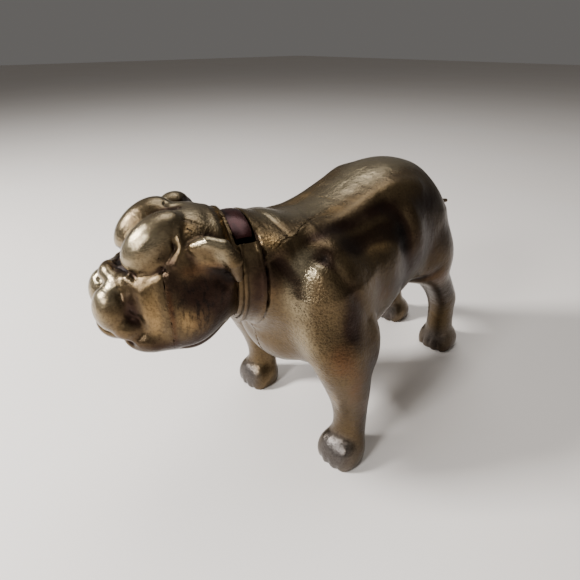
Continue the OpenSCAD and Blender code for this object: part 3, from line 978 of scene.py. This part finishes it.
class Wire:
    """The output of a shader node, which can be used in sums."""

    def __init__(self, shop, socket):
        self.shop = shop
        self.socket = socket

    def calc(self, operation, other, swapped=False):
        """A sum of this output and another output or number."""
        values = [other, self] if swapped else [self, other]
        return self.shop.node("ShaderNodeMath", {"operation": operation}, values)

    def __add__(self, other):
        return self.calc("ADD", other)

    __radd__ = __add__

    def __sub__(self, other):
        return self.calc("SUBTRACT", other)

    def __rsub__(self, other):
        return self.calc("SUBTRACT", other, True)

    def __mul__(self, other):
        return self.calc("MULTIPLY", other)

    __rmul__ = __mul__

    def between(self, low, high):
        """0 at low, 1 at high, softly."""
        return self.shop.node(
            "ShaderNodeMapRange",
            {"interpolation_type": "SMOOTHSTEP"},
            {"Value": self, "From Min": low, "From Max": high},
        )


# The places of a colour mix node's sockets
SHARE, FIRST_COLOUR, SECOND_COLOUR, MIXED_COLOUR = 0, 6, 7, 2


class Shop:
    """One material under construction."""

    def __init__(self, name):
        self.material = bpy.data.materials.new(name)
        self.material.use_nodes = True
        self.tree = self.material.node_tree
        self.tree.nodes.clear()

    def node(self, kind, settings=None, inputs=None, output=0):
        """Adds any node: its settings first, then the values or wires of its sockets."""
        made = self.tree.nodes.new(kind)
        for key, value in (settings or {}).items():
            setattr(made, key, value)
        pairs = inputs.items() if isinstance(inputs, dict) else enumerate(inputs or [])
        for key, value in pairs:
            if isinstance(value, Wire):
                self.tree.links.new(value.socket, made.inputs[key])
            else:
                made.inputs[key].default_value = value
        return Wire(self, made.outputs[output]) if made.outputs else None

    def place(self):
        """The point on the piece, in its own coordinates."""
        return self.node("ShaderNodeTexCoord", output="Object")

    def stretched(self, scales):
        """The point on the piece, with each axis scaled by itself."""
        return self.node("ShaderNodeVectorMath", {"operation": "MULTIPLY"}, [self.place(), scales])

    def noise(self, scale, detail=4.0, roughness=0.55, vector=None):
        """Soft clouds, or grain where the scale is large."""
        inputs = {
            "Vector": vector or self.place(),
            "Scale": scale,
            "Detail": detail,
            "Roughness": roughness,
        }
        return self.node("ShaderNodeTexNoise", {"noise_dimensions": "3D"}, inputs)

    def pits(self, scale):
        """The distance from the nearest of many scattered points."""
        inputs = {"Vector": self.place(), "Scale": scale}
        return self.node("ShaderNodeTexVoronoi", {"feature": "F1"}, inputs)

    def stored(self, name):
        """A number stored at the piece's points."""
        return self.node("ShaderNodeAttribute", {"attribute_name": name}, output="Fac")

    def mix(self, a, b, share):
        """Colour a turned into colour b by the share."""
        settings = {"data_type": "RGBA", "clamp_factor": True}
        inputs = {SHARE: share, FIRST_COLOUR: a, SECOND_COLOUR: b}
        return self.node("ShaderNodeMix", settings, inputs, MIXED_COLOUR)

    def bump(self, height, distance, strength, normal=None):
        """The light's view of a small height, on top of an earlier bump."""
        inputs = {"Strength": strength, "Distance": distance, "Height": height}
        if normal:
            inputs["Normal"] = normal
        return self.node("ShaderNodeBump", inputs=inputs)

    def metal(self, **sockets):
        """The finished surface. Keys are the shader's own socket names, with _ for a space."""
        inputs = {key.replace("_", " "): value for key, value in sockets.items()}
        surface = self.node("ShaderNodeBsdfPrincipled", inputs=inputs)
        self.node("ShaderNodeOutputMaterial", inputs={"Surface": surface})
        return self.material


def linear(level):
    """A screen's level, 0 to 255, as an amount of light."""
    v = level / 255
    return v / 12.92 if v <= 0.04045 else ((v + 0.055) / 1.055) ** 2.4


def colour(red, green, blue):
    """A colour given as it looks on a screen."""
    return (linear(red), linear(green), linear(blue), 1.0)


BRONZE = colour(93, 77, 53)
PALE_GOLD = colour(144, 117, 78)
AMBER = colour(96, 64, 40)
SILVER = colour(142, 129, 103)
LEAD = colour(86, 81, 77)
UMBER = colour(40, 25, 17)
# near black, for dirt, pores and hairs, and for painted shade in the deepest hollows and inside
SOOT_AND_SHADE = colour(18, 12, 9)


def bronzed_spelter():
    """Bronzed zinc alloy: worn to silver with painted highlights on the high places, brown patina and
    painted shade in the hollows.
    """
    shop = Shop("bronzed spelter")
    drift = shop.noise(70, 5, 0.6)
    cloud = shop.noise(190, 5, 0.65)
    fine = shop.noise(900, 4, 0.7)
    patina_and_shade_left = shop.stored("patina_and_shade_in_hollows") - shop.stored("less_patina_and_shade") * 0.45
    patina_and_shade_in_hollows = patina_and_shade_left + (drift - 0.5) * 0.25 + (cloud - 0.5) * 0.22
    mottle = (drift - 0.5) * 0.7 + (cloud - 0.5) * 0.7
    amber = shop.stored("amber") + mottle
    gold = shop.stored("gold") + mottle
    silver_and_highlight = shop.stored("silver_and_highlight") - mottle * 0.6
    umber_and_shade = shop.stored("umber_and_shade") - mottle * 0.7
    lead = shop.stored("lead")
    sand = shop.stored("sand")

    # metal colours, one over another; the silver and gold also carry painted highlights, the umber
    # painted shade
    base = shop.mix(BRONZE, SILVER, silver_and_highlight.between(0.2, 0.85))
    base = shop.mix(base, PALE_GOLD, gold.between(0.2, 0.9))
    base = shop.mix(base, LEAD, lead.between(0.2, 0.8))
    base = shop.mix(base, UMBER, umber_and_shade.between(0.0, 0.95))
    base = shop.mix(base, AMBER, amber.between(0.2, 1.1) * 0.7)
    # dark patina and painted shade in the hollows, black where deepest
    base = shop.mix(base, UMBER, patina_and_shade_in_hollows.between(0.14, 0.5) * 0.9)
    base = shop.mix(base, SOOT_AND_SHADE, patina_and_shade_in_hollows.between(0.45, 0.95))
    # flecks, sand grain, specks, pores and short hairs
    flecks = shop.noise(1400, 3, 0.8).between(0.47, 0.62) * (1 - silver_and_highlight.between(0.3, 1.0) * 0.3)
    base = shop.mix(base, UMBER, flecks * 0.4)
    grain = shop.pits(1500)
    grain_dark = (1 - grain.between(0.12, 0.42)) * sand
    base = shop.mix(base, SOOT_AND_SHADE, grain_dark * 0.55)
    scatter = shop.pits(420)
    specks = (1 - scatter.between(0.08, 0.2)) * shop.noise(60, 3).between(0.5, 0.68)
    base = shop.mix(base, SOOT_AND_SHADE, specks * 0.6)
    pores = (1 - shop.pits(900).between(0.1, 0.3)) * shop.noise(300, 3).between(0.4, 0.6)
    holes = pores * shop.stored("pitted")
    base = shop.mix(base, SOOT_AND_SHADE, holes * 0.9)
    strands = shop.noise(1, 4, 0.6, shop.stretched((900, 900, 300)))
    hair = strands.between(0.48, 0.62) * shop.stored("hair")
    base = shop.mix(base, SOOT_AND_SHADE, hair * 0.8)
    # painted shade: the inside of the casting in black
    base = shop.mix(base, SOOT_AND_SHADE, shop.stored("inside"))

    # shine, and the relief of swells, chasing, sand and scratches
    polish = {"Value": silver_and_highlight, "From Min": 0.2, "From Max": 1.0, "To Min": 0.3, "To Max": 0.15}
    shine = shop.node("ShaderNodeMapRange", inputs=polish)
    rough = shine + (cloud - 0.5) * 0.16 + patina_and_shade_in_hollows.between(0.3, 0.9) * 0.16 + sand * 0.1
    chasing = shop.noise(620, 6, 0.7)
    normal = shop.bump(shop.noise(230, 4, 0.5), 0.00055, 0.5)
    normal = shop.bump(chasing, 0.0003, 0.5, normal)
    normal = shop.bump(grain * sand - holes, 0.0004, 0.45, normal)
    normal = shop.bump(fine, 0.0001, 0.4, normal)
    return shop.metal(Base_Color=base, Metallic=0.86, Roughness=rough, Normal=normal)


def old_copper():
    """Dark red copper, brighter where it is rubbed."""
    shop = Shop("old copper")
    cloud = shop.noise(260, 5, 0.6)
    rub = shop.noise(90, 3)
    base = shop.mix(colour(50, 22, 21), colour(120, 62, 54), rub.between(0.6, 0.78) * 0.25)
    base = shop.mix(base, colour(30, 16, 16), cloud.between(0.45, 0.75) * 0.6)
    normal = shop.bump(shop.noise(500, 5), 0.0001, 0.4)
    return shop.metal(Base_Color=base, Metallic=0.7, Roughness=0.2 + cloud * 0.16, Normal=normal)


def gate_steel():
    """Drawn steel of the pin, bracket and spring."""
    shop = Shop("drawn steel")
    cloud = shop.noise(400, 4)
    base = shop.mix(colour(120, 118, 114), colour(74, 66, 58), cloud.between(0.45, 0.7))
    normal = shop.bump(shop.noise(900, 3), 0.00005, 0.3)
    return shop.metal(Base_Color=base, Metallic=0.95, Roughness=0.3 + cloud * 0.2, Normal=normal)


def outlet_brass():
    """Turned brass of the belly outlet, dulled in cloudy patches."""
    shop = Shop("dull brass")
    cloud = shop.noise(240, 5)
    base = shop.mix(colour(150, 122, 70), colour(74, 54, 30), cloud.between(0.42, 0.72))
    normal = shop.bump(shop.noise(700, 4), 0.00008, 0.35)
    return shop.metal(Base_Color=base, Metallic=0.9, Roughness=0.3 + cloud * 0.22, Normal=normal)


def washer_rubber():
    """Black rubber."""
    shop = Shop("black rubber")
    cloud = shop.noise(500, 3)
    base = shop.mix(colour(22, 21, 20), colour(40, 38, 36), cloud)
    normal = shop.bump(shop.noise(1200, 3), 0.00005, 0.4)
    return shop.metal(Base_Color=base, Metallic=0.0, Roughness=0.6 + cloud * 0.15, Normal=normal)


spelter = bronzed_spelter()
steel = gate_steel()
brass = outlet_brass()
for casting in castings:
    casting.data.materials.append(spelter)
copper = old_copper()
NODE_FINISH = {
    "gate_pin": steel, "gate_bracket": steel, "gate_spring": steel,
    "outlet_ring": brass, "outlet_plug": brass, "plug_washer": washer_rubber(),
}


def give(obj, material):
    """Makes this the object's only material."""
    obj.data.materials.clear()
    obj.data.materials.append(material)


for node, material in NODE_FINISH.items():
    give(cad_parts[node], material)


# ---- the copper gate ---------------------------------------------------------------------------

SLOT_MIDDLE = np.array([0.0, -40.4, 73.2])
GATE_RADIUS = 14.0
GATE_WIDTH = 5.2
GATE_THICK = 1.2
GATE_RISE = 0.12
GATE_CROWN = 0.35
GATE_EDGE = 0.22
TIP_NARROWS = 0.16
GATE_FROM, GATE_TO = -43, 42


def copper_gate():
    """A curved strip with rolled edges and rounded corners, on the knuckle of the CAD gate."""
    bpy.ops.object.select_all(action="DESELECT")
    bpy.ops.mesh.primitive_cube_add(size=1)
    gate = bpy.context.active_object
    gate.name = gate.data.name = "copper_gate"
    bpy.ops.object.mode_set(mode="EDIT")
    bpy.ops.mesh.subdivide(number_cuts=23)
    bpy.ops.object.mode_set(mode="OBJECT")
    co = np.zeros(len(gate.data.vertices) * 3, np.float32)
    gate.data.vertices.foreach_get("co", co)
    along, across, out = (co.reshape(-1, 3) + 0.5).T
    width = GATE_WIDTH * (1 - TIP_NARROWS * smooth_step(along, 0.88, 1.0) ** 2)
    angle = np.radians(GATE_FROM + along * (GATE_TO - GATE_FROM))
    crown = GATE_CROWN * (1 - (2 * across - 1) ** 2)
    radius = GATE_RADIUS + (out - 0.5) * GATE_THICK + GATE_RISE + crown
    p = np.stack([radius * np.sin(angle), (across - 0.5) * width, radius * np.cos(angle)], 1)
    set_points(gate.data, out_of_head(p + SLOT_MIDDLE))
    only(gate)
    edges = gate.modifiers.new("rolled edges", "BEVEL")
    edges.width = GATE_EDGE * MM
    edges.segments = 3
    edges.limit_method = "ANGLE"
    edges.angle_limit = math.radians(50)
    bpy.ops.object.modifier_apply(modifier=edges.name)
    bpy.ops.object.mode_set(mode="EDIT")
    bpy.ops.mesh.select_all(action="SELECT")
    bpy.ops.mesh.normals_make_consistent(inside=False)
    bpy.ops.object.mode_set(mode="OBJECT")
    bpy.ops.object.shade_smooth_by_angle(angle=math.radians(40))
    give(gate, copper)
    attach(gate, "gate")


copper_gate()
give(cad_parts["coin_gate"], copper)

# ---- the tail ----------------------------------------------------------------------------------


def tail_bronze():
    """The patina of the castings for the small turned tail."""
    shop = Shop("tail bronze")
    cloud = shop.noise(200, 5)
    base = shop.mix(colour(96, 80, 58), colour(44, 32, 22), cloud.between(0.4, 0.7))
    normal = shop.bump(shop.noise(500, 5), 0.00012, 0.5)
    return shop.metal(Base_Color=base, Metallic=0.85, Roughness=0.36 + cloud * 0.14, Normal=normal)


give(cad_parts["tail"], tail_bronze())

# ---- floor, light and camera --------------------------------------------------------------------


FLOOR_SIZE = 6
MIDDLE = Vector((0, 0, 0.05))
# Each softbox: its name, place, size in metres and watts
LIGHTS = [
    ("key", (-0.32, -0.42, 0.42), 0.1, 8.6),
    ("second", (0.02, -0.5, 0.34), 0.1, 2.2),
    ("top", (-0.15, 0.15, 0.75), 0.5, 3.2),
    ("fill", (0.6, -0.2, 0.3), 0.6, 0.5),
]
ROOM_LIGHT = 0.2
LENS, FILM = 27.0, 36.0
EYE = (0.0889, -0.10705, 0.1285)
TILT, TURN = 60, 46


def pale_floor():
    """A matt pale floor."""
    shop = Shop("pale floor")
    base = shop.mix(colour(222, 214, 206), colour(228, 222, 216), shop.noise(6, 3))
    return shop.metal(Base_Color=base, Roughness=0.7)


bpy.ops.object.select_all(action="DESELECT")
bpy.ops.mesh.primitive_plane_add(size=FLOOR_SIZE, location=(0, 0, 0))
floor = bpy.context.active_object
floor.name = "floor"
floor.data.materials.append(pale_floor())


def soft_light(name, place, size, watts):
    """A square softbox that faces the middle of the bank."""
    light = bpy.data.lights.new(name, "AREA")
    light.shape = "SQUARE"
    light.size = size
    light.energy = watts
    obj = bpy.data.objects.new(name, light)
    obj.location = place
    obj.rotation_euler = (MIDDLE - obj.location).to_track_quat("-Z", "Y").to_euler()
    bpy.context.scene.collection.objects.link(obj)


for light in LIGHTS:
    soft_light(*light)

world = bpy.data.worlds.new("studio")
bpy.context.scene.world = world
world.use_nodes = True
room = world.node_tree.nodes["Background"]
room.inputs["Color"].default_value = colour(212, 208, 204)
room.inputs["Strength"].default_value = ROOM_LIGHT

lens = bpy.data.cameras.new("camera")
lens.lens = LENS
lens.sensor_width = FILM
lens.clip_start = 0.01
camera = bpy.data.objects.new("camera", lens)
camera.location = EYE
camera.rotation_euler = (math.radians(TILT), 0, math.radians(TURN))
bpy.context.scene.collection.objects.link(camera)
bpy.context.scene.camera = camera
